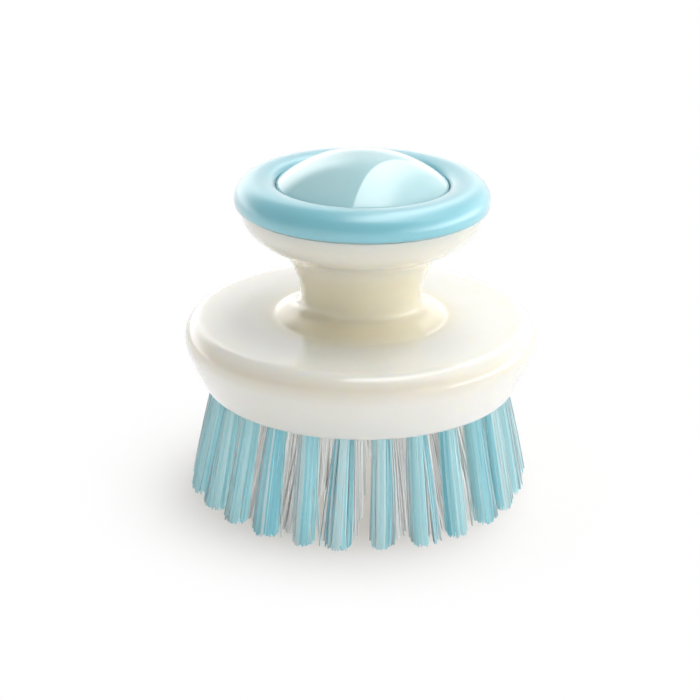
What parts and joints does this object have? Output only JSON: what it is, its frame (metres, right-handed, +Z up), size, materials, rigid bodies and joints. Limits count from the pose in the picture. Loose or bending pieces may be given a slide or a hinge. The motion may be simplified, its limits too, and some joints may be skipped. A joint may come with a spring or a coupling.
{
  "type": "dish brush",
  "caption": "Palm dish brush: a flared head on a waisted neck, a rounded knob with a sprung press button that lets soap out through the tufted plate.",
  "frame": {"origin": "on the floor under the middle of the brush, in the plane of the cut bristle tips", "axes": "+Z up along the turned axis of handle, button and valve; -Y is the side that the picture shows"},
  "size_m": [0.065, 0.065, 0.0644],
  "materials": {
    "handle_cream": "high gloss ivory moulding",
    "plate_cream": "satin ivory moulding",
    "ring_blue": "smooth satin, pale blue",
    "button_aqua": "high gloss, pale aqua",
    "rod_steel": "bright stainless",
    "spring_steel": "drawn stainless wire",
    "washer_steel": "flat stainless",
    "seal_rubber": "matt translucent grey silicone",
    "valve_rubber": "matt translucent silicone",
    "tuft_blue": "blue filament bundles",
    "tuft_white": "milky clear filament bundles"
  },
  "bodies": {
    "brush": {"handle_shell": "handle_cream", "brush_plate": "plate_cream", "grip_ring": "ring_blue", "return_spring": "spring_steel", "spring_washer": "washer_steel", "rod_seal": "seal_rubber", "plate_seal": "seal_rubber", "valve_seat": "valve_rubber", "outer_tuft_01": "tuft_blue", "outer_tuft_02": "tuft_blue", "outer_tuft_03": "tuft_blue", "outer_tuft_04": "tuft_blue", "outer_tuft_05": "tuft_blue", "outer_tuft_06": "tuft_blue", "outer_tuft_07": "tuft_blue", "outer_tuft_08": "tuft_blue", "outer_tuft_09": "tuft_blue", "outer_tuft_10": "tuft_blue", "outer_tuft_11": "tuft_blue", "outer_tuft_12": "tuft_blue", "outer_tuft_13": "tuft_blue", "outer_tuft_14": "tuft_blue", "outer_tuft_15": "tuft_blue", "outer_tuft_16": "tuft_blue", "outer_tuft_17": "tuft_blue", "outer_tuft_18": "tuft_blue", "outer_tuft_19": "tuft_blue", "outer_tuft_20": "tuft_blue", "outer_tuft_21": "tuft_blue", "outer_tuft_22": "tuft_blue", "outer_tuft_23": "tuft_blue", "outer_tuft_24": "tuft_blue", "outer_tuft_25": "tuft_blue", "second_row_tufts": "tuft_white", "third_row_tufts": "tuft_white", "inner_row_tufts": "tuft_white"},
    "button": {"push_button": "button_aqua", "plunger_rod": "rod_steel", "valve_plug": "valve_rubber"}
  },
  "joints": [
    {"name": "button_press", "type": "slide", "parent": "brush", "child": "button", "axis": [0, 0, -1], "range_m": [0, 0.003], "stiffness_N_per_m": 400, "springref_m": -0.003, "deforming": ["return_spring"]}
  ]
}
